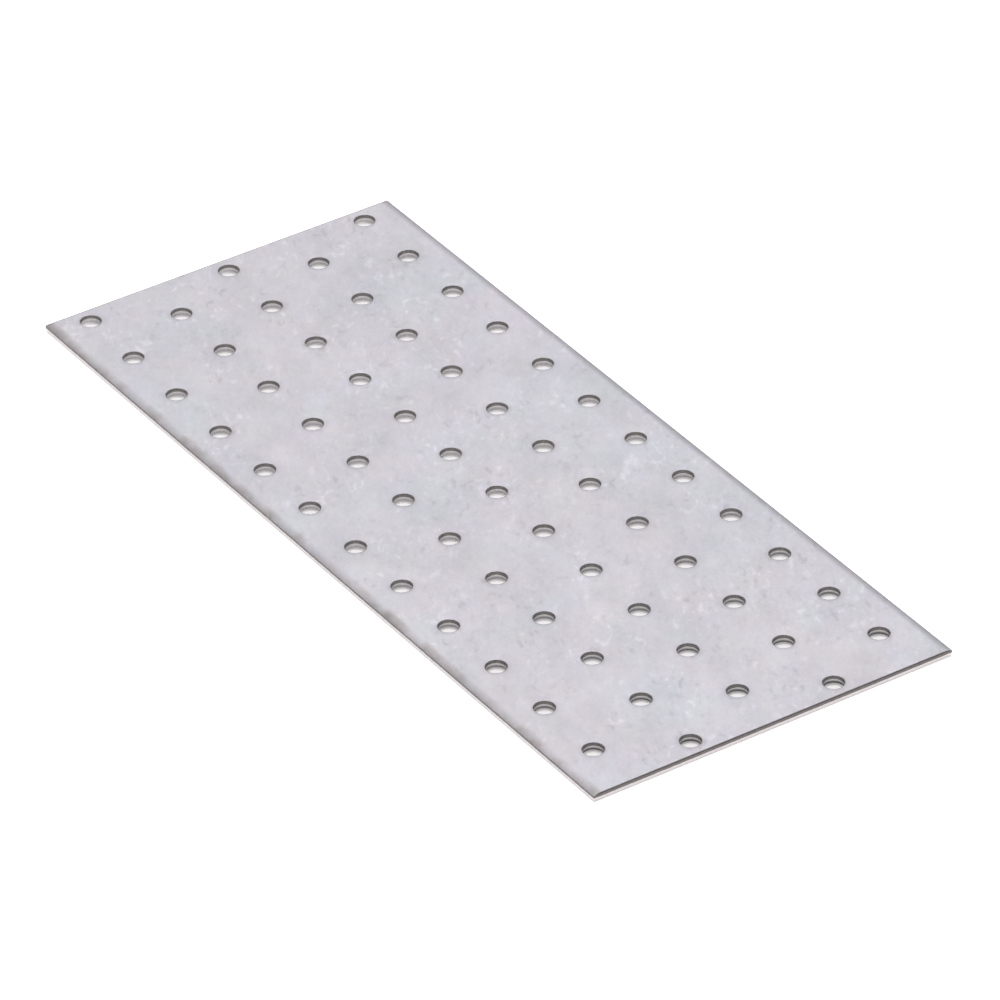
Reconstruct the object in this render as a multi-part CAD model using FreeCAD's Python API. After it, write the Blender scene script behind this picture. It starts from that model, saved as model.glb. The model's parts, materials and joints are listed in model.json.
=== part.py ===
import FreeCAD, Part

import math
import os

# Perforated nail plate, also sold as a mending plate: one flat piece of galvanised steel
# sheet that joins timbers lying in one plane. It is slit to width from a coil, punched with
# staggered rows of round nail holes, and cropped to length. Lengths are in millimetres.
# The plate lies on its underside with its length along X and its width along Y, and the
# origin is the centre of the underside.

# The blank
plate_length = 240.0
plate_width = 100.0
sheet_thickness = 2.0

# The nail holes: rows along the length, where each second row stands half a pitch further on
hole_diameter = 5.0
hole_pitch = 20.0
row_pitch = 20.0
end_web = 2.5  # least metal between a hole and an end of the plate
side_web = 7.5  # least metal between a hole and a long edge

# The cut edges. Shears first draw the top face down in a roll-over, then cut a bright upright
# band, and the rest of the thickness breaks off at a slant towards the underside. These depths
# grow with the sheet, so they are shares of its thickness. The slitting rolls leave a wide
# roll-over along the plate, and the cropping blade leaves a narrow one across it.
slit_roll_width = 2.2
slit_roll_share = 0.14
crop_roll_width = 0.5
crop_roll_share = 0.10
break_share = 0.55
blade_gap_share = 0.05


def section_point(across, up):
    """A point of a section drawn in the XZ plane."""
    return FreeCAD.Vector(across, 0, up)


def roll_over(edge, width, depth):
    """The arc that leaves the top face level and meets the cut edge, depth below it.

    The cut edge is edge away from the middle of the strip, on the side that its sign gives.
    """
    outwards = math.copysign(1, edge)
    radius = (width**2 + depth**2) / (2 * depth)
    half_turn = math.asin(width / radius) / 2
    start = section_point(edge - outwards * width, sheet_thickness)
    middle = section_point(
        start.x + outwards * radius * math.sin(half_turn),
        sheet_thickness - radius * (1 - math.cos(half_turn)),
    )
    end = section_point(edge, sheet_thickness - depth)
    return Part.Arc(start, middle, end).toShape()


def sheared_strip(width, roll_width, roll_share, run):
    """A strip of the sheet between two sheared edges, width apart along X, run long along Y."""
    edge = width / 2
    roll_depth = roll_share * sheet_thickness
    break_height = break_share * sheet_thickness
    foot = edge - blade_gap_share * sheet_thickness
    top = Part.makePolygon(
        [
            section_point(roll_width - edge, sheet_thickness),
            section_point(edge - roll_width, sheet_thickness),
        ]
    )
    sides_and_underside = Part.makePolygon(
        [
            section_point(edge, sheet_thickness - roll_depth),
            section_point(edge, break_height),
            section_point(foot, 0),
            section_point(-foot, 0),
            section_point(-edge, break_height),
            section_point(-edge, sheet_thickness - roll_depth),
        ]
    )
    outline = Part.Wire(
        [
            *top.Edges,
            roll_over(edge, roll_width, roll_depth),
            *sides_and_underside.Edges,
            roll_over(-edge, roll_width, roll_depth),
        ]
    )
    outline.translate(FreeCAD.Vector(0, -run / 2, 0))
    return Part.Face(outline).extrude(FreeCAD.Vector(0, run, 0))


def blank():
    """The sheet before punching, where slit edges and cropped ends meet at sharp corners."""
    slit = sheared_strip(plate_width, slit_roll_width, slit_roll_share, plate_length)
    slit.rotate(FreeCAD.Vector(), FreeCAD.Vector(0, 0, 1), 90)
    cropped = sheared_strip(plate_length, crop_roll_width, crop_roll_share, plate_width)
    return slit.common(cropped)


def count_between(length, margin, pitch):
    """How many places at this pitch fit along a length, with a margin kept at both ends."""
    rounding = 1e-6
    return int((length - 2 * margin) / pitch + rounding) + 1


def hole_centres():
    """The centres of the staggered pattern, which is centred on the plate."""
    radius = hole_diameter / 2
    shift = hole_pitch / 2
    rows = count_between(plate_width, side_web + radius, row_pitch)
    holes = count_between(plate_length - shift, end_web + radius, hole_pitch)
    first_x = -((holes - 1) * hole_pitch + shift) / 2
    first_y = -(rows - 1) * row_pitch / 2
    centres = []
    for row in range(rows):
        row_start = first_x + (row % 2) * shift
        for hole in range(holes):
            centres.append(FreeCAD.Vector(row_start + hole * hole_pitch, first_y + row * row_pitch, 0))
    return centres


def punches():
    """The round punches of the whole pattern, standing through the sheet."""
    overrun = sheet_thickness / 2
    stroke = sheet_thickness + 2 * overrun
    down_to = FreeCAD.Vector(0, 0, -overrun)
    return Part.makeCompound(
        [Part.makeCylinder(hole_diameter / 2, stroke, centre + down_to) for centre in hole_centres()]
    )


nail_plate = blank().cut(punches()).Solids[0]
print("holes:", len(hole_centres()), "volume:", round(nail_plate.Volume), "mm3")

os.makedirs("parts", exist_ok=True)
nail_plate.exportStep("parts/nail_plate.step")
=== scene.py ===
# %% [markdown]
# # A perforated nail plate
#
# The object is a mending plate for timber: one flat piece of galvanised steel sheet with
# rows of round nail holes. It has no moving or separate pieces, so its looks rest on three
# things: the shape of the edges that shears and punches leave, the skin of zinc, and soft
# light. Lengths are written in millimetres and turned to metres by one factor.

# %% The frame
import json
import math

import bpy
from mathutils import Matrix, Vector


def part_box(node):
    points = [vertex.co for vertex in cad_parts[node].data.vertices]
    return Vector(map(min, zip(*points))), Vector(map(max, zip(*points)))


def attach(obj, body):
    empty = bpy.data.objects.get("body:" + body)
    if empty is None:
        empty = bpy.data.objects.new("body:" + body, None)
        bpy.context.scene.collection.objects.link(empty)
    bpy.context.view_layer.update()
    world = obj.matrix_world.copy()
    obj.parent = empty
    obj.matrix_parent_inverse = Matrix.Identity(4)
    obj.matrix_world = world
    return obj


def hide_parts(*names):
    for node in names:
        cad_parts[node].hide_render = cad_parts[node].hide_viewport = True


MM = 0.001

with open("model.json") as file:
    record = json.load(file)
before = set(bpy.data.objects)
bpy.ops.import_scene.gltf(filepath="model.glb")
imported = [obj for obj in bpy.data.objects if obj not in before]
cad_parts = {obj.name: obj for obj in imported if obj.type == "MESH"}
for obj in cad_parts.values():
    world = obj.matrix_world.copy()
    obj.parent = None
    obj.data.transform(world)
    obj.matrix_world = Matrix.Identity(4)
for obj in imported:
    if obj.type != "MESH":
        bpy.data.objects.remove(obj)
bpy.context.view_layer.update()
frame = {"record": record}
low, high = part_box("nail_plate")
size = high - low
print("plate", [round(length / MM, 2) for length in size], "mm")

# %% [markdown]
# ## Sizes of the cut edges
#
# A sheared edge has three zones. The tool draws the face down in a roll-over, shears a
# smooth upright band, and the rest breaks off at a slant. The long edges were slit between
# rolls, the ends were cropped by a blade and the holes were punched, so each has its own
# widths. The depths grow with the sheet, so they are shares of its thickness.

# %% Sizes of the cut edges
half_length = size.x / 2
half_width = size.y / 2
thickness = size.z

slit_roll_width = 2.2 * MM
slit_roll_depth = 0.14 * thickness
crop_roll_width = 0.5 * MM
crop_roll_depth = 0.10 * thickness
break_height = 0.55 * thickness
blade_gap = 0.05 * thickness
print("the break starts", round(break_height / MM, 2), "mm above the underside")

# %% [markdown]
# ## The pattern of holes
#
# The hole's size and the pattern come from the record of the packed model, where each mount
# is a line or a rectangle of holes. The shortest one is a pitch long and the longest spans
# a row. The narrowest rectangle joins the rows on both sides of the middle row, and so it is
# two row pitches wide.

# %% The pattern of holes
mounts = [mount for mount in frame["record"]["mounts"] if mount["kind"] == "bolt_pattern"]
spans_x = [mount["dims"]["spacing_x_mm"] for mount in mounts]
spans_y = [mount["dims"].get("spacing_y_mm", 0) for mount in mounts]
hole_radius = mounts[0]["dims"]["hole_r_mm"] * MM
hole_pitch = min(spans_x) * MM
holes_per_row = round(max(spans_x) * MM / hole_pitch) + 1
row_pitch = min(span for span in spans_y if span) * MM / 2
row_count = round(max(spans_y) * MM / row_pitch) + 1
print(row_count, "rows of", holes_per_row, "holes, radius", hole_radius / MM, "mm")

# %% [markdown]
# ## The rim of the sheet
#
# The outer edge could be a bevelled box, but a bevel has no slant, no break and the same
# width on every side. Here the rim is a stack of rectangles, one for each height where the
# section changes. At every height the slit edges set the rectangle's width and the cropped
# ends set its length, so the two sections meet in a true corner. The first rectangle lies
# on the flat face, and keeps that face's shading flat up to the roll-over.

# %% The rim's heights
ROLL_STEPS = 8
FLAT_MARGIN = 0.12 * MM


def arc_reach(drop, width, depth):
    """How far an arc that starts level has gone outwards when it has dropped this much."""
    if drop >= depth:
        return width
    radius = (width**2 + depth**2) / (2 * depth)
    return math.sqrt(drop * (2 * radius - drop))


def rim_levels():
    """(half length, half width, height) of each rectangle, from the flat face down.

    The drops grow as squares, which spreads the rectangles evenly over an arc.
    """
    flat_x = half_length - crop_roll_width
    flat_y = half_width - slit_roll_width
    levels = [(flat_x - FLAT_MARGIN, flat_y - FLAT_MARGIN, thickness)]
    for step in range(ROLL_STEPS + 1):
        drop = slit_roll_depth * (step / ROLL_STEPS) ** 2
        reach_x = arc_reach(drop, crop_roll_width, crop_roll_depth)
        reach_y = arc_reach(drop, slit_roll_width, slit_roll_depth)
        levels.append((flat_x + reach_x, flat_y + reach_y, thickness - drop))
    levels.append((half_length, half_width, break_height))
    levels.append((half_length - blade_gap, half_width - blade_gap, 0))
    return levels


print("rim:", len(rim_levels()), "heights")

# %% [markdown]
# Each rectangle has as many points as the others, about a millimetre apart, so that
# neighbours are joined by plain quads and the line of the break can wander later.

# %% The rim's mesh
EDGE_STEP = 1.0 * MM


def rectangle(half_x, half_y, height):
    """Points round a rectangle, anticlockwise from above, about one edge step apart."""
    corners = [(-half_x, -half_y), (half_x, -half_y), (half_x, half_y), (-half_x, half_y)]
    points = []
    for side, start in enumerate(corners):
        end = corners[(side + 1) % len(corners)]
        steps = round((size.y if side % 2 else size.x) / EDGE_STEP)
        for step in range(steps):
            share = step / steps
            x = start[0] + (end[0] - start[0]) * share
            y = start[1] + (end[1] - start[1]) * share
            points.append((x, y, height))
    return points


def new_object(name, data):
    """An object for this mesh, curve, lamp or camera, linked into the scene."""
    made = bpy.data.objects.new(name, data)
    bpy.context.scene.collection.objects.link(made)
    return made


rings = [rectangle(*level) for level in rim_levels()]
ring_size = len(rings[0])
rim_faces = []
for ring in range(len(rings) - 1):
    upper, lower = ring * ring_size, (ring + 1) * ring_size
    for index in range(ring_size):
        after = (index + 1) % ring_size
        rim_faces.append((upper + index, lower + index, lower + after, upper + after))
rim_mesh = bpy.data.meshes.new("sheet_rim")
rim_mesh.from_pydata([point for ring in rings for point in ring], [], rim_faces)
rim = new_object("sheet_rim", rim_mesh)
print("rim:", len(rings), "rectangles of", ring_size, "points")

# %% [markdown]
# ## The section of a punched hole
#
# A punch first dishes the sheet a little, then draws its skin down in a tight roll-over,
# shears an upright wall and breaks out wider at the foot. This section is drawn once, as an
# open curve from the foot up: its X is how far a point stands out from the wall, and its Y
# is how deep it lies below the face. The node tree below turns it round each hole. The dish
# has to end before the flat part of the rim does, where a hole stands near an end.

# %% The hole's section
DISH_WIDTH = 1.6 * MM
DISH_DEPTH = 0.04 * MM
DISH_STEPS = 4
PUNCH_ROLL_WIDTH = 0.28 * MM
PUNCH_ROLL_DEPTH = 0.34 * MM
PUNCH_ROLL_STEPS = 6

mouth_margin = DISH_WIDTH + FLAT_MARGIN

section = [(blade_gap, thickness), (0, thickness - break_height)]
for step in range(PUNCH_ROLL_STEPS + 1):
    turn = math.pi / 2 * step / PUNCH_ROLL_STEPS
    across = PUNCH_ROLL_WIDTH * (1 - math.cos(turn))
    deep = PUNCH_ROLL_DEPTH - (PUNCH_ROLL_DEPTH - DISH_DEPTH) * math.sin(turn)
    section.append((across, deep))
for step in range(1, DISH_STEPS + 1):
    share = step / DISH_STEPS
    across = PUNCH_ROLL_WIDTH + (DISH_WIDTH - PUNCH_ROLL_WIDTH) * share
    section.append((across, DISH_DEPTH * (1 - share) ** 2))
section.append((mouth_margin, 0))

section_curve = bpy.data.curves.new("hole_section", "CURVE")
section_curve.dimensions = "3D"
section_line = section_curve.splines.new("POLY")
section_line.points.add(len(section) - 1)
for point, (across, deep) in zip(section_line.points, section):
    point.co = (across, deep, 0, 1)
hole_section = new_object("hole_section", section_curve)
print("hole section:", len(section), "points")

# %% [markdown]
# ## Adding nodes
#
# Node trees are easier to read when one call adds a node, sets it and links it. An input is
# given a plain value, an output, a node, which stands for its first output in use, or a list
# of these where it takes several.


# %% One helper for every node
def add_node(tree, kind, inputs=None, **settings):
    """Adds a node with its settings, and sets or links its inputs by name or number."""
    node = tree.nodes.new(kind)
    for setting, value in settings.items():
        setattr(node, setting, value)
    for name, given_value in (inputs or {}).items():
        for value in given_value if isinstance(given_value, list) else [given_value]:
            if isinstance(value, bpy.types.Node):
                value = next(output for output in value.outputs if output.enabled)
            if isinstance(value, bpy.types.NodeSocket):
                tree.links.new(value, node.inputs[name])
            else:
                node.inputs[name].default_value = value
    return node


print("add_node:", add_node.__doc__)

# %% [markdown]
# ## Colours and empty materials
#
# Colours are written as sRGB hex codes, while Blender mixes linear light, so one function
# turns the one into the other. A new material brings nodes of its own, which are cleared.


# %% Colours and empty materials
def srgb(code):
    """A colour from its sRGB hex code, in the linear values that Blender works with."""
    channels = [int(code[start : start + 2], 16) / 255 for start in (0, 2, 4)]
    linear = [c / 12.92 if c <= 0.04045 else ((c + 0.055) / 1.055) ** 2.4 for c in channels]
    return (*linear, 1.0)


def empty_material(name):
    """A new material whose node tree is still empty."""
    material = bpy.data.materials.new(name)
    material.use_nodes = True
    material.node_tree.nodes.clear()
    return material


print("middle grey in linear light:", round(srgb("808080")[0], 3))

# %% [markdown]
# ## Hot-dip galvanised steel
#
# The coil ran through a bath of zinc and then through smoothing rolls. That leaves an even,
# satin, light grey skin in which the zinc's crystals only just show: a cloudy mottle at every
# size, grains of a few millimetres, and in some patches crowds of short dark and pale flecks
# that lie one way. The patterns are noise on Object coordinates, stretched and turned so
# that they lie one way too. The W of a noise is its seed, and most of its values lie between
# the two named here.

# %% The mottle and the grains
NOISE_LOW = 0.3
NOISE_HIGH = 0.7
STREAK_STRETCH = (1.7, 1.0, 1.0)
STREAK_TURN = math.radians(-30)
MOTTLE_SIZE = 16.0 * MM
MOTTLE_SEED = 2.0
MOTTLE_SHADE = 0.085
GRAIN_SIZE = 5.0 * MM
GRAIN_SHADE = 0.015

zinc = empty_material("galvanised_steel")
tree = zinc.node_tree
place = add_node(tree, "ShaderNodeTexCoord").outputs["Object"]
streaked = add_node(
    tree,
    "ShaderNodeMapping",
    {"Vector": place, "Rotation": (0, 0, STREAK_TURN), "Scale": STREAK_STRETCH},
    vector_type="TEXTURE",
)
mottle = add_node(
    tree,
    "ShaderNodeTexNoise",
    {
        "Vector": streaked,
        "W": MOTTLE_SEED,
        "Scale": 1 / MOTTLE_SIZE,
        "Detail": 6.0,
        "Roughness": 0.9,
    },
    noise_dimensions="4D",
)
mottle_shade = add_node(
    tree,
    "ShaderNodeMapRange",
    {
        "Value": mottle,
        "From Min": NOISE_LOW,
        "From Max": NOISE_HIGH,
        "To Min": 1 - MOTTLE_SHADE,
        "To Max": 1 + MOTTLE_SHADE,
    },
)
grains = add_node(tree, "ShaderNodeTexVoronoi", {"Vector": streaked, "Scale": 1 / GRAIN_SIZE})
grain_shade = add_node(
    tree,
    "ShaderNodeMapRange",
    {
        "Value": grains.outputs["Color"],
        "To Min": 1 - GRAIN_SHADE,
        "To Max": 1 + GRAIN_SHADE,
    },
)
print("mottle and grains:", len(tree.nodes), "nodes")

# %% [markdown]
# The flecks could be two patterns, but one fine noise draws both: the dark ones are its
# peaks and the pale ones are its pits, so that they never meet. A second, coarser noise says
# how strong they are, which crowds them into patches.

# %% The flecks
FLECK_SIZE = 1.8 * MM
FLECK_SEED = 3.0
DARK_FLECKS = {"From Min": 0.58, "From Max": 0.74, "To Min": 0.0, "To Max": -0.12}
PALE_FLECKS = {"From Min": 0.42, "From Max": 0.28, "To Min": 0.0, "To Max": 0.12}
PATCH_SIZE = 9.0 * MM
PATCH_SEED = 4.0
CROWDING = {"From Min": 0.44, "From Max": 0.58, "To Min": 0.25, "To Max": 1.1}

flecks = add_node(
    tree,
    "ShaderNodeTexNoise",
    {
        "Vector": streaked,
        "W": FLECK_SEED,
        "Scale": 1 / FLECK_SIZE,
        "Detail": 1.0,
        "Distortion": 0.5,
    },
    noise_dimensions="4D",
)
patches = add_node(
    tree,
    "ShaderNodeTexNoise",
    {"Vector": place, "W": PATCH_SEED, "Scale": 1 / PATCH_SIZE, "Detail": 2.0},
    noise_dimensions="4D",
)
crowding = add_node(tree, "ShaderNodeMapRange", {"Value": patches, **CROWDING})
dark_flecks = add_node(tree, "ShaderNodeMapRange", {"Value": flecks, **DARK_FLECKS})
pale_flecks = add_node(tree, "ShaderNodeMapRange", {"Value": flecks, **PALE_FLECKS})
both_flecks = add_node(tree, "ShaderNodeMath", {0: dark_flecks, 1: pale_flecks}, operation="ADD")
fleck_shade = add_node(
    tree, "ShaderNodeMath", {0: both_flecks, 1: crowding, 2: 1.0}, operation="MULTIPLY_ADD"
)
shade = mottle_shade
for pattern in (grain_shade, fleck_shade):
    shade = add_node(tree, "ShaderNodeMath", {0: shade, 1: pattern}, operation="MULTIPLY")
print("with the flecks:", len(tree.nodes), "nodes")

# %% [markdown]
# The zinc's grey leans to lilac, with broad patches that are a touch cooler, and each few
# millimetres lean a little their own way.

# %% The zinc's tint
ZINC_LILAC = "BFBCC2"
ZINC_COOL = "BCBCC2"
COOL_SIZE = 32.0 * MM
COOL_SEED = 9.0
COOL_START = 0.47
COOL_FULL = 0.62
LEAN_SIZE = 7.0 * MM
LEAN_SEED = 5.0
LEAN_SHARE = 0.026

cool_patches = add_node(
    tree,
    "ShaderNodeTexNoise",
    {
        "Vector": place,
        "W": COOL_SEED,
        "Scale": 1 / COOL_SIZE,
        "Detail": 5.0,
        "Roughness": 0.7,
    },
    noise_dimensions="4D",
)
coolness = add_node(
    tree,
    "ShaderNodeMapRange",
    {"Value": cool_patches, "From Min": COOL_START, "From Max": COOL_FULL},
)
tint = add_node(
    tree,
    "ShaderNodeMix",
    {"Factor": coolness, "A": srgb(ZINC_LILAC), "B": srgb(ZINC_COOL)},
    data_type="RGBA",
)
leaning = add_node(
    tree,
    "ShaderNodeTexNoise",
    {
        "Vector": streaked,
        "W": LEAN_SEED,
        "Scale": 1 / LEAN_SIZE,
        "Detail": 4.0,
        "Roughness": 0.75,
    },
    noise_dimensions="4D",
)
tint = add_node(
    tree,
    "ShaderNodeMix",
    {"Factor": LEAN_SHARE, "A": tint, "B": leaning.outputs["Color"]},
    data_type="RGBA",
    blend_type="LINEAR_LIGHT",
)
print("with the tint:", len(tree.nodes), "nodes")

# %% [markdown]
# Along the front slit edge the zinc is painted darker and browner, in patches: painted
# shade on that roll-over. The zinc is also painted darker the more it bends away from
# level, as painted shade on every roll-over and round every hole: that is read from the
# normal, whose part across the sheet is zero on the flat face.

# %% Painted shade on the front edge and the roll-overs
# painted shade, brown-tinted, along the front slit edge: its colour, strength and reach
FRONT_SHADE_COLOUR = "8E847C"
FRONT_SHADE_SHARE = 0.38
FRONT_SHADE_START = 2.9 * MM
FRONT_SHADE_FULL = 1.4 * MM
# the tilt at which the painted shade on the roll-overs is full, and how dark it then is
PAINTED_SHADE_TILT = math.radians(40)
PAINTED_TILT_SHADE = 0.22

from_front = add_node(tree, "ShaderNodeSeparateXYZ", {"Vector": place}).outputs["Y"]
front_shade_reach = add_node(
    tree,
    "ShaderNodeMapRange",
    {
        "Value": from_front,
        "From Min": -half_width + FRONT_SHADE_START,
        "From Max": -half_width + FRONT_SHADE_FULL,
        "To Max": FRONT_SHADE_SHARE,
    },
    interpolation_type="SMOOTHSTEP",
)
painted_shade = add_node(tree, "ShaderNodeMath", {0: front_shade_reach, 1: crowding}, operation="MULTIPLY")
front_shaded_tint = add_node(
    tree,
    "ShaderNodeMix",
    {"Factor": painted_shade, "A": tint, "B": srgb(FRONT_SHADE_COLOUR)},
    data_type="RGBA",
)
facing = add_node(tree, "ShaderNodeNewGeometry").outputs["Normal"]
sideways = add_node(
    tree, "ShaderNodeVectorMath", {0: facing, 1: (1, 1, 0)}, operation="MULTIPLY"
)
tilt = add_node(tree, "ShaderNodeVectorMath", {0: sideways}, operation="LENGTH")
# painted shade: the zinc is darker the more its face tilts away from level, on the roll-overs and
# round the holes
painted_tilt_shade = add_node(
    tree,
    "ShaderNodeMapRange",
    {
        "Value": tilt.outputs["Value"],
        "From Max": math.sin(PAINTED_SHADE_TILT),
        "To Min": 1.0,
        "To Max": PAINTED_TILT_SHADE,
    },
)
shade = add_node(tree, "ShaderNodeMath", {0: shade, 1: painted_tilt_shade}, operation="MULTIPLY")
print("with the soil:", len(tree.nodes), "nodes")

# %% [markdown]
# Zinc is a metal, so its colour is the colour of its reflection. Its finish is satin: the
# roughness swings a little with the mottle, and a very shallow bump lets the mottle catch
# the light.

# %% The zinc's finish
ZINC_ROUGHNESS = 0.60
ROUGHNESS_SWING = 0.03
RELIEF_HEIGHT = 0.02 * MM
RELIEF_STRENGTH = 0.2

skin_colour = add_node(tree, "ShaderNodeHueSaturation", {"Color": front_shaded_tint, "Value": shade})
skin_roughness = add_node(
    tree,
    "ShaderNodeMapRange",
    {
        "Value": mottle,
        "From Min": NOISE_LOW,
        "From Max": NOISE_HIGH,
        "To Min": ZINC_ROUGHNESS + ROUGHNESS_SWING,
        "To Max": ZINC_ROUGHNESS - ROUGHNESS_SWING,
    },
)
relief = add_node(
    tree,
    "ShaderNodeBump",
    {"Height": mottle, "Strength": RELIEF_STRENGTH, "Distance": RELIEF_HEIGHT},
)
zinc_shader = add_node(
    tree,
    "ShaderNodeBsdfPrincipled",
    {
        "Base Color": skin_colour,
        "Metallic": 1.0,
        "Roughness": skin_roughness,
        "Normal": relief,
    },
)
add_node(tree, "ShaderNodeOutputMaterial", {"Surface": zinc_shader})
print("galvanised steel:", len(tree.nodes), "nodes")

# %% [markdown]
# ## Cut steel
#
# Where the sheet was cut, bare steel shows. The sheared band is smoothed by the tool that
# slid down it, and has fine upright scores. Below it the metal broke, which leaves a matt,
# grainy zone that scatters light and looks paler. The walls of the holes and the outer edges
# get copies of this steel in different colours: the outer edges' copies are painted darker,
# as painted shade that offsets the brighter floor they face, and their break is rougher. Real
# scores and torn grains are a few hundredths of a millimetre wide, and are drawn coarser so
# that they show. The foot of a hole is darkened by a painted shadow, the more the nearer the
# hole is to the right end.

# %% A material for the zones of a cut
MARK_SHADE = 0.15
MARK_STRENGTH = 0.5
# the painted shadow at the foot of a hole's wall starts at this height and is full at the next
FOOT_SHADOW_TOP = 0.90 * MM
FOOT_SHADOW_FULL = 0.25 * MM


def cut_steel(name, colour, roughness, mark_scale, mark_height, foot_shadow=0.0):
    """Bare steel with marks of a scale for each axis.

    A painted shadow darkens its foot, from nothing at the plate's middle to full at the right
    end.
    """
    material = empty_material(name)
    tree = material.node_tree
    place = add_node(tree, "ShaderNodeTexCoord").outputs["Object"]
    stretched = add_node(tree, "ShaderNodeMapping", {"Vector": place, "Scale": mark_scale})
    marks = add_node(
        tree, "ShaderNodeTexNoise", {"Vector": stretched, "Scale": 1.0, "Detail": 3.0}
    )
    mark_shade = add_node(
        tree,
        "ShaderNodeMapRange",
        {
            "Value": marks,
            "From Min": NOISE_LOW,
            "From Max": NOISE_HIGH,
            "To Min": 1 - MARK_SHADE,
            "To Max": 1 + MARK_SHADE,
        },
    )
    along = add_node(tree, "ShaderNodeSeparateXYZ", {"Vector": place}).outputs
    # painted shadow at the foot of the wall, growing towards the right end
    foot = add_node(
        tree,
        "ShaderNodeMapRange",
        {"Value": along["Z"], "From Min": FOOT_SHADOW_TOP, "From Max": FOOT_SHADOW_FULL},
        interpolation_type="SMOOTHSTEP",
    )
    painted_shade = add_node(
        tree,
        "ShaderNodeMapRange",
        {"Value": along["X"], "From Max": half_length, "To Max": -foot_shadow},
    )
    foot_shadow_shade = add_node(
        tree, "ShaderNodeMath", {0: foot, 1: painted_shade, 2: 1.0}, operation="MULTIPLY_ADD"
    )
    shade = add_node(
        tree, "ShaderNodeMath", {0: mark_shade, 1: foot_shadow_shade}, operation="MULTIPLY"
    )
    tone = add_node(tree, "ShaderNodeHueSaturation", {"Color": srgb(colour), "Value": shade})
    bump = add_node(
        tree,
        "ShaderNodeBump",
        {"Height": marks, "Strength": MARK_STRENGTH, "Distance": mark_height},
    )
    shader = add_node(
        tree,
        "ShaderNodeBsdfPrincipled",
        {"Base Color": tone, "Metallic": 1.0, "Roughness": roughness, "Normal": bump},
    )
    add_node(tree, "ShaderNodeOutputMaterial", {"Surface": shader})
    return material


print("marks shade a cut by up to", MARK_SHADE)

# %% [markdown]
# Four materials come from that function: a smooth band and a torn break for the holes, and
# the same two for the outer edges. Scores run down the wall, so they are long in Z, while
# torn grains are as long as they are wide.

# %% The four cut finishes
SCORE_WIDTH = 0.25 * MM
SCORE_LENGTH = 2.5 * MM
SCORE_HEIGHT = 0.01 * MM
TEAR_GRAIN = 0.18 * MM
TEAR_HEIGHT = 0.03 * MM
# how dark the painted shadow at the foot of a hole gets at the right end
HOLE_FOOT_SHADOW = 0.8

scores = (1 / SCORE_WIDTH, 1 / SCORE_WIDTH, 1 / SCORE_LENGTH)
tears = (1 / TEAR_GRAIN, 1 / TEAR_GRAIN, 1 / TEAR_GRAIN)
punched_band = cut_steel(
    "punched_band_steel",
    colour="8A8786",
    roughness=0.50,
    mark_scale=scores,
    mark_height=SCORE_HEIGHT,
)
punched_break = cut_steel(
    "punched_break_steel",
    colour="DEDCDC",
    roughness=0.42,
    mark_scale=tears,
    mark_height=TEAR_HEIGHT,
    foot_shadow=HOLE_FOOT_SHADOW,
)
# the outer edges' copies are painted darker than the holes', as painted shade that offsets the
# brighter light on the open edges
edge_band = cut_steel(
    "edge_band_steel",
    colour="706C6B",
    roughness=0.50,
    mark_scale=scores,
    mark_height=SCORE_HEIGHT,
)
edge_break = cut_steel(
    "edge_break_steel",
    colour="CECBCA",
    roughness=0.50,
    mark_scale=tears,
    mark_height=TEAR_HEIGHT,
)
print("cut finishes:", punched_band.name, punched_break.name, edge_band.name, edge_break.name)

# %% [markdown]
# ## Punching the sheet with Geometry Nodes
#
# Sixty holes cut with a Boolean would leave ragged meshes round each mouth. The tree here
# builds the sheet the other way round. It turns the hole's section about one hole, places
# that sleeve at every point of a staggered grid, and fills the two flat faces between the
# rim and the sleeves, which then share their points. Every size is a named input.

# %% The tree's inputs
HOLE_SEGMENTS = 64
RAGGEDNESS = 0.12 * MM
TEAR_WAVE = 1.5 * MM
TEAR_SEED = 3.0
WELD_DISTANCE = 0.002 * MM

tree_inputs = [
    ("Hole Section", "NodeSocketObject", hole_section),
    ("Thickness", "NodeSocketFloat", thickness),
    ("Hole Radius", "NodeSocketFloat", hole_radius),
    ("Mouth Margin", "NodeSocketFloat", mouth_margin),
    ("Foot Margin", "NodeSocketFloat", blade_gap),
    ("Hole Segments", "NodeSocketInt", HOLE_SEGMENTS),
    ("Hole Pitch", "NodeSocketFloat", hole_pitch),
    ("Holes per Row", "NodeSocketInt", holes_per_row),
    ("Row Pitch", "NodeSocketFloat", row_pitch),
    ("Rows", "NodeSocketInt", row_count),
    ("Break Height", "NodeSocketFloat", break_height),
    ("Raggedness", "NodeSocketFloat", RAGGEDNESS),
    ("Tear Wave", "NodeSocketFloat", TEAR_WAVE),
    ("Seed", "NodeSocketFloat", TEAR_SEED),
    ("Weld Distance", "NodeSocketFloat", WELD_DISTANCE),
    ("Half Length", "NodeSocketFloat", half_length),
    ("Half Width", "NodeSocketFloat", half_width),
    ("Edge Reach", "NodeSocketFloat", crop_roll_width),
    ("Skin", "NodeSocketMaterial", zinc),
    ("Punched Band", "NodeSocketMaterial", punched_band),
    ("Punched Break", "NodeSocketMaterial", punched_break),
    ("Edge Band", "NodeSocketMaterial", edge_band),
    ("Edge Break", "NodeSocketMaterial", edge_break),
]

tree = bpy.data.node_groups.new("Perforated sheet", "GeometryNodeTree")
tree.interface.new_socket("Rim", in_out="INPUT", socket_type="NodeSocketGeometry")
for name, kind, _ in tree_inputs:
    tree.interface.new_socket(name, in_out="INPUT", socket_type=kind)
tree.interface.new_socket("Sheet", in_out="OUTPUT", socket_type="NodeSocketGeometry")
given = add_node(tree, "NodeGroupInput").outputs
print("the tree takes a rim and", len(tree_inputs), "values")

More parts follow.
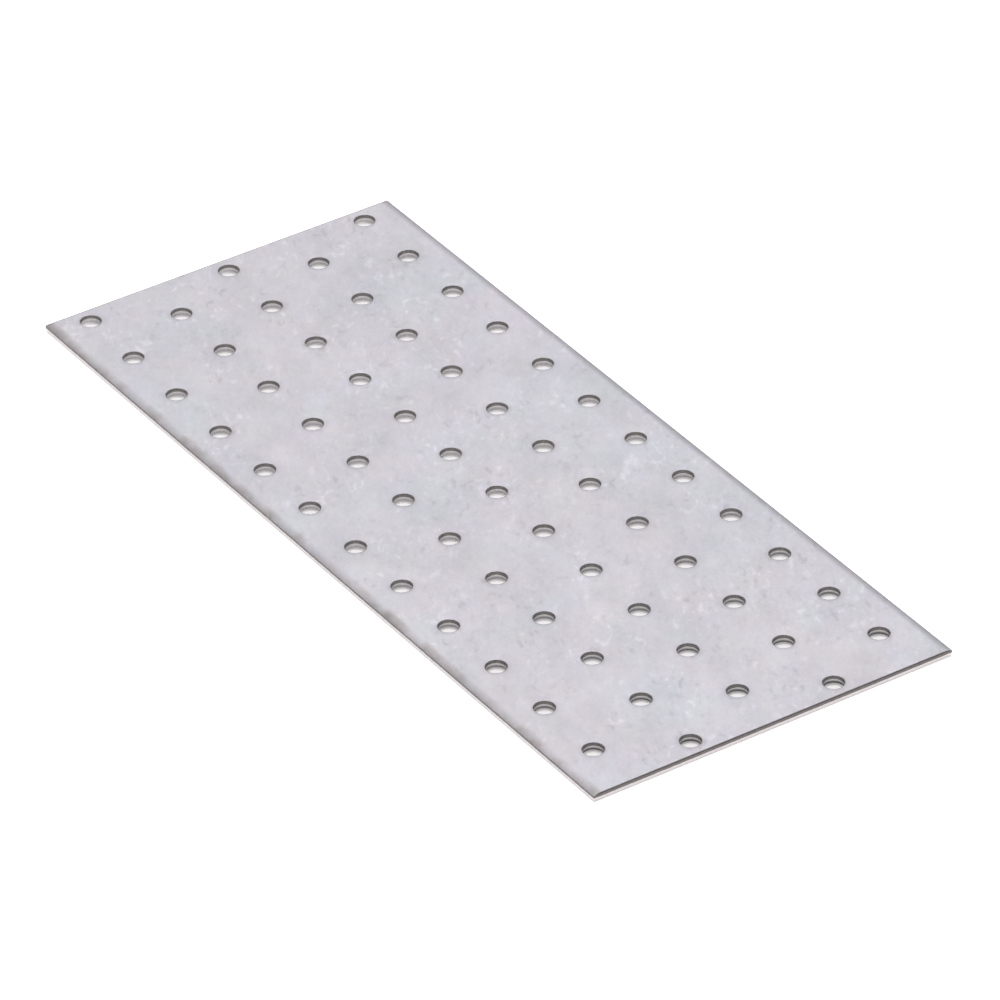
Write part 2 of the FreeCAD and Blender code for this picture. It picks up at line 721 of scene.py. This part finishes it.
# %% [markdown]
# The hole centres are the points of a mesh grid. A grid numbers its points up each column,
# so the remainder of a point's number by the count of rows is its row. Every second row
# moves half a pitch along the plate, and the whole pattern stays centred.

# %% The staggered grid
STAGGER = 0.5

spans = []
for count, pitch in [("Holes per Row", "Hole Pitch"), ("Rows", "Row Pitch")]:
    steps = add_node(tree, "ShaderNodeMath", {0: given[count], 1: 1}, operation="SUBTRACT")
    spans.append(
        add_node(tree, "ShaderNodeMath", {0: steps, 1: given[pitch]}, operation="MULTIPLY")
    )
grid = add_node(
    tree,
    "GeometryNodeMeshGrid",
    {
        "Size X": spans[0],
        "Size Y": spans[1],
        "Vertices X": given["Holes per Row"],
        "Vertices Y": given["Rows"],
    },
)
number = add_node(tree, "GeometryNodeInputIndex")
row = add_node(tree, "ShaderNodeMath", {0: number, 1: given["Rows"]}, operation="MODULO")
is_odd = add_node(tree, "ShaderNodeMath", {0: row, 1: 2}, operation="MODULO")
side = add_node(
    tree, "ShaderNodeMapRange", {"Value": is_odd, "To Min": -STAGGER / 2, "To Max": STAGGER / 2}
)
stagger = add_node(
    tree, "ShaderNodeMath", {0: side, 1: given["Hole Pitch"]}, operation="MULTIPLY"
)
along_plate = add_node(tree, "ShaderNodeCombineXYZ", {"X": stagger})
centres = add_node(
    tree, "GeometryNodeSetPosition", {"Geometry": grid, "Offset": along_plate}
)
print("staggered grid:", len(tree.nodes), "nodes")

# %% [markdown]
# A sleeve is the hole's section swept round a circle. The sweep points the section's Y
# downwards, which is why the section was drawn as depths below the face.

# %% The sleeves
top_height = add_node(tree, "ShaderNodeCombineXYZ", {"Z": given["Thickness"]})
wall_circle = add_node(
    tree,
    "GeometryNodeCurvePrimitiveCircle",
    {"Resolution": given["Hole Segments"], "Radius": given["Hole Radius"]},
)
profile = add_node(tree, "GeometryNodeObjectInfo", {"Object": given["Hole Section"]})
sleeve = add_node(
    tree,
    "GeometryNodeCurveToMesh",
    {"Curve": wall_circle, "Profile Curve": profile.outputs["Geometry"]},
)
lifted_sleeve = add_node(
    tree, "GeometryNodeTransform", {"Geometry": sleeve, "Translation": top_height}
)
sleeves = add_node(
    tree, "GeometryNodeInstanceOnPoints", {"Points": centres, "Instance": lifted_sleeve}
)
print("with the sleeves:", len(tree.nodes), "nodes")

# %% [markdown]
# Each flat face is filled between one open loop of the rim and a circle round each hole:
# the mouths on top, and the wider feet on the underside. Fill Curve works at height zero
# and faces up, so the upper face is lifted and the lower one is turned over.

# %% The flat faces
position = add_node(tree, "GeometryNodeInputPosition")
height = add_node(tree, "ShaderNodeSeparateXYZ", {0: position}).outputs["Z"]
faces_beside = add_node(tree, "GeometryNodeInputMeshEdgeNeighbors")
is_open = add_node(
    tree, "FunctionNodeCompare", {"A": faces_beside, "B": 1}, data_type="INT", operation="EQUAL"
)
half_way = add_node(
    tree, "ShaderNodeMath", {0: given["Thickness"], 1: 2}, operation="DIVIDE"
)
is_upper = add_node(
    tree, "FunctionNodeCompare", {"A": height, "B": half_way}, operation="GREATER_THAN"
)


def flat_face(loop_choice, margin):
    """The fill between an open loop of the rim and a circle round each hole."""
    chosen = add_node(
        tree, "FunctionNodeBooleanMath", {0: is_open, 1: is_upper}, operation=loop_choice
    )
    loop = add_node(
        tree, "GeometryNodeMeshToCurve", {"Mesh": given["Rim"], "Selection": chosen}
    )
    radius = add_node(tree, "ShaderNodeMath", {0: given["Hole Radius"], 1: margin})
    circle = add_node(
        tree,
        "GeometryNodeCurvePrimitiveCircle",
        {"Resolution": given["Hole Segments"], "Radius": radius},
    )
    circles = add_node(
        tree, "GeometryNodeInstanceOnPoints", {"Points": centres, "Instance": circle}
    )
    outlines = add_node(tree, "GeometryNodeJoinGeometry", {"Geometry": [loop, circles]})
    loose = add_node(tree, "GeometryNodeRealizeInstances", {"Geometry": outlines})
    return add_node(tree, "GeometryNodeFillCurve", {"Curve": loose})


top = add_node(
    tree,
    "GeometryNodeTransform",
    {"Geometry": flat_face("AND", given["Mouth Margin"]), "Translation": top_height},
)
underside = add_node(
    tree, "GeometryNodeFlipFaces", {"Mesh": flat_face("NIMPLY", given["Foot Margin"])}
)
print("with the flat faces:", len(tree.nodes), "nodes")

# %% [markdown]
# The pieces are joined and welded into one closed sheet. The line between the sheared band
# and the torn zone is never straight on a real cut, so its points are shifted up and down
# by smooth noise.

# %% Welding and the ragged line
joined = add_node(
    tree, "GeometryNodeJoinGeometry", {"Geometry": [given["Rim"], sleeves, top, underside]}
)
realized = add_node(tree, "GeometryNodeRealizeInstances", {"Geometry": joined})
welded = add_node(
    tree,
    "GeometryNodeMergeByDistance",
    {"Geometry": realized, "Distance": given["Weld Distance"]},
)
wave_scale = add_node(
    tree, "ShaderNodeMath", {0: 1.0, 1: given["Tear Wave"]}, operation="DIVIDE"
)
wave = add_node(
    tree,
    "ShaderNodeTexNoise",
    {"W": given["Seed"], "Scale": wave_scale, "Detail": 2.0},
    noise_dimensions="4D",
)
swing = add_node(tree, "ShaderNodeMapRange", {"Value": wave, "To Min": -1.0, "To Max": 1.0})
shift = add_node(
    tree, "ShaderNodeMath", {0: swing, 1: given["Raggedness"]}, operation="MULTIPLY"
)
up_or_down = add_node(tree, "ShaderNodeCombineXYZ", {"Z": shift})
on_line = add_node(
    tree,
    "FunctionNodeCompare",
    {"A": height, "B": given["Break Height"], "Epsilon": given["Weld Distance"]},
    operation="EQUAL",
)
ragged = add_node(
    tree,
    "GeometryNodeSetPosition",
    {"Geometry": welded, "Selection": on_line, "Offset": up_or_down},
)
print("with the ragged line:", len(tree.nodes), "nodes")

# %% [markdown]
# The zinc ends where a roll-over grows steep. From there the faces get the cut steel: the
# sheared band above the line and the break below it. All cuts first get the finish of the
# holes, and then those near the outline of the plate get the finish of the edges.

# %% The finishes of the faces
ZINC_END_TILT = math.radians(20)


def past_outline(tree, place, plate_half):
    """How far a place lies outside the plate's outline, which is negative inside it."""
    from_middle = add_node(tree, "ShaderNodeVectorMath", {0: place}, operation="ABSOLUTE")
    past = add_node(
        tree, "ShaderNodeVectorMath", {0: from_middle, 1: plate_half}, operation="SUBTRACT"
    )
    past = add_node(tree, "ShaderNodeSeparateXYZ", {0: past}).outputs
    return add_node(tree, "ShaderNodeMath", {0: past["X"], 1: past["Y"]}, operation="MAXIMUM")


normal = add_node(tree, "GeometryNodeInputNormal").outputs["Normal"]
faces_up = add_node(tree, "ShaderNodeSeparateXYZ", {0: normal}).outputs["Z"]
levelness = add_node(tree, "ShaderNodeMath", {0: faces_up}, operation="ABSOLUTE")
is_cut = add_node(
    tree,
    "FunctionNodeCompare",
    {"A": levelness, "B": math.cos(ZINC_END_TILT)},
    operation="LESS_THAN",
)
is_low = add_node(
    tree, "FunctionNodeCompare", {"A": height, "B": given["Break Height"]}, operation="LESS_THAN"
)
plate_half = add_node(
    tree, "ShaderNodeCombineXYZ", {0: given["Half Length"], 1: given["Half Width"]}
)
from_edge = add_node(
    tree, "ShaderNodeMath", {0: past_outline(tree, position, plate_half)}, operation="ABSOLUTE"
)
is_edge = add_node(
    tree, "FunctionNodeCompare", {"A": from_edge, "B": given["Edge Reach"]}, operation="LESS_THAN"
)
is_cut_edge = add_node(tree, "FunctionNodeBooleanMath", {0: is_cut, 1: is_edge})
zones = [
    (is_cut, "Punched Band"),
    (add_node(tree, "FunctionNodeBooleanMath", {0: is_cut, 1: is_low}), "Punched Break"),
    (is_cut_edge, "Edge Band"),
    (add_node(tree, "FunctionNodeBooleanMath", {0: is_cut_edge, 1: is_low}), "Edge Break"),
]
finished = add_node(tree, "GeometryNodeSetShadeSmooth", {"Geometry": ragged})
finished = add_node(
    tree, "GeometryNodeSetMaterial", {"Geometry": finished, "Material": given["Skin"]}
)
for zone, material in zones:
    finished = add_node(
        tree,
        "GeometryNodeSetMaterial",
        {"Geometry": finished, "Selection": zone, "Material": given[material]},
    )
add_node(tree, "NodeGroupOutput", {0: finished})
print("whole tree:", len(tree.nodes), "nodes")

# %% [markdown]
# ## From nodes to a plain mesh
#
# The inputs are set by their identifiers before the object is first evaluated. The result
# is copied to a mesh of its own, so the rim and the section can go. So can the empty
# material slot that the tree puts first. Edges where the faces turn sharply, such as the
# foot of a cut, keep a crisp shading.

# %% The sheet
SHARP_ANGLE = math.radians(30)

punching = rim.modifiers.new("Punching", "NODES")
punching.node_group = tree
sockets = [item for item in tree.interface.items_tree if item.in_out == "INPUT"]
for socket, (_, _, value) in zip(sockets[1:], tree_inputs):
    punching[socket.identifier] = value
evaluated = rim.evaluated_get(bpy.context.evaluated_depsgraph_get())
sheet_mesh = bpy.data.meshes.new_from_object(evaluated)
sheet_mesh.name = "nail_plate_sheet"
sheet_mesh.materials.pop(index=0)
sheet_mesh.set_sharp_from_angle(angle=SHARP_ANGLE)
sheet = new_object("nail_plate_sheet", sheet_mesh)
rim.modifiers.remove(punching)
bpy.data.objects.remove(rim)
bpy.data.objects.remove(hole_section)
print("sheet:", sum(len(face.vertices) - 2 for face in sheet_mesh.polygons), "triangles")

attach(sheet, "root")
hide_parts("nail_plate")

# %% [markdown]
# ## The floor
#
# The plate lies on a wide white paper, which is set a hair lower than the plate, because two
# faces in one place would render as a speckle. The paper is lit like the plate, so the plate's
# shadow falls on it. What the camera, a mirror or glass sees of it is lifted by a little
# light of its own, so that it is as white as a photographer's. Under the plate this light
# fades within a few millimetres of the outline, so that the holes stay deep.

# %% A white floor
FLOOR_SIZE = 8.0
FLOOR_GAP = 0.02 * MM
FLOOR_COLOUR = "F9F6F8"

reach = FLOOR_SIZE / 2
floor_corners = [(-reach, -reach), (reach, -reach), (reach, reach), (-reach, reach)]
floor_mesh = bpy.data.meshes.new("floor")
floor_mesh.from_pydata([(x, y, -FLOOR_GAP) for x, y in floor_corners], [], [(0, 1, 2, 3)])
floor = new_object("floor", floor_mesh)
print("floor:", FLOOR_SIZE, "m wide")

# %% [markdown]
# The paper's material adds two things: matt paper that takes the light and the shadow, and
# the lift. The lift is multiplied by one for the rays that look and by nothing for the rays
# that light, so that it puts no light on the plate.

# %% White paper
LIFT_UNDER = 0.20
LIFT_BESIDE = 0.80
LIFT_REACH = 4.0 * MM

paper = empty_material("white_paper")
tree = paper.node_tree
place = add_node(tree, "ShaderNodeTexCoord").outputs["Object"]
lift = add_node(
    tree,
    "ShaderNodeMapRange",
    {
        "Value": past_outline(tree, place, (half_length, half_width, 0)),
        "From Min": -LIFT_REACH,
        "From Max": 0.0,
        "To Min": LIFT_UNDER,
        "To Max": LIFT_BESIDE,
    },
    interpolation_type="SMOOTHSTEP",
)
ray = add_node(tree, "ShaderNodeLightPath").outputs
looks = ray["Is Camera Ray"]
for kind in ("Is Glossy Ray", "Is Transmission Ray"):
    looks = add_node(tree, "ShaderNodeMath", {0: looks, 1: ray[kind]}, operation="MAXIMUM")
glow_strength = add_node(tree, "ShaderNodeMath", {0: looks, 1: lift}, operation="MULTIPLY")
glow = add_node(
    tree, "ShaderNodeEmission", {"Color": srgb(FLOOR_COLOUR), "Strength": glow_strength}
)
matt = add_node(tree, "ShaderNodeBsdfDiffuse", {"Color": srgb(FLOOR_COLOUR)})
both = add_node(tree, "ShaderNodeAddShader", {0: glow, 1: matt})
add_node(tree, "ShaderNodeOutputMaterial", {"Surface": both})
floor_mesh.materials.append(paper)
print("white paper:", len(tree.nodes), "nodes")

# %% [markdown]
# ## Light
#
# A satin metal shows its surroundings, so the room matters as much as the lamp. The world is
# a plain room with pale walls all round and a dimmer ceiling: the flat face shows the upper
# walls, and the roll-overs show the ceiling and so are darker.

# %% The room
ROOM_COLOUR = "FFFFFF"
WALL_LIGHT = 0.95
CEILING_LIGHT = 0.25
WALL_TOP = math.radians(8)
CEILING_START = math.radians(50)

world = bpy.data.worlds.new("studio")
bpy.context.scene.world = world
world.use_nodes = True
tree = world.node_tree
tree.nodes.clear()
gaze = add_node(tree, "ShaderNodeTexCoord").outputs["Generated"]
gaze_height = add_node(tree, "ShaderNodeSeparateXYZ", {0: gaze}).outputs["Z"]
light = add_node(
    tree,
    "ShaderNodeMapRange",
    {
        "Value": gaze_height,
        "From Min": math.sin(WALL_TOP),
        "From Max": math.sin(CEILING_START),
        "To Min": WALL_LIGHT,
        "To Max": CEILING_LIGHT,
    },
    interpolation_type="SMOOTHSTEP",
)
backdrop = add_node(
    tree, "ShaderNodeBackground", {"Color": srgb(ROOM_COLOUR), "Strength": light}
)
add_node(tree, "ShaderNodeOutputWorld", {"Surface": backdrop})
print("room:", len(tree.nodes), "nodes")

# %% [markdown]
# A softbox hangs high behind the plate, on its left. Its light falls through the holes, and
# their far walls keep part of the floor in shadow.

# %% The softbox
SOFTBOX_AZIMUTH = math.radians(147)
SOFTBOX_ELEVATION = math.radians(66)
SOFTBOX_DISTANCE = 8.0
SOFTBOX_SIZE = 3.6
SOFTBOX_POWER = 365.0


def direction(azimuth, elevation):
    """The unit vector that points this way."""
    flat = math.cos(elevation)
    return Vector((flat * math.cos(azimuth), flat * math.sin(azimuth), math.sin(elevation)))


softbox_light = bpy.data.lights.new("softbox", "AREA")
softbox_light.shape = "SQUARE"
softbox_light.size = SOFTBOX_SIZE
softbox_light.energy = SOFTBOX_POWER
softbox = new_object("softbox", softbox_light)
towards_softbox = direction(SOFTBOX_AZIMUTH, SOFTBOX_ELEVATION)
softbox.location = towards_softbox * SOFTBOX_DISTANCE
softbox.rotation_euler = towards_softbox.to_track_quat("Z", "Y").to_euler()
print("softbox:", SOFTBOX_POWER, "W,", SOFTBOX_DISTANCE, "m away")

# %% [markdown]
# ## Camera
#
# The plate was seen from about 34 degrees above, over its near right corner, through a long
# lens. The place and the three axes below came from fitting the holes and the outline.

# %% The camera
CAMERA_PLACE = (1436.439 * MM, -922.856 * MM, 1149.681 * MM)
CAMERA_RIGHT = (0.553105, 0.832884, -0.019478)
CAMERA_DOWN = (0.457355, -0.323098, -0.828513)
CAMERA_FORWARD = (-0.696348, 0.449347, -0.559631)
FOCAL_PIXELS = 8636.04
PICTURE_PIXELS = 1000
SENSOR_WIDTH = 36.0
FARTHEST_SEEN = 20.0

camera_data = bpy.data.cameras.new("camera")
camera_data.sensor_width = SENSOR_WIDTH
camera_data.lens = FOCAL_PIXELS * SENSOR_WIDTH / PICTURE_PIXELS
camera_data.clip_end = FARTHEST_SEEN
camera = new_object("camera", camera_data)
axes = (Vector(CAMERA_RIGHT), -Vector(CAMERA_DOWN), -Vector(CAMERA_FORWARD))
turn = Matrix(axes).transposed()
camera.matrix_world = Matrix.Translation(CAMERA_PLACE) @ turn.to_4x4()
bpy.context.scene.camera = camera
bpy.context.scene.view_settings.view_transform = "Standard"
print("lens:", round(camera_data.lens, 1), "mm")

# %% [markdown]
# ## Finish
#
# The looks must not change the object's size.
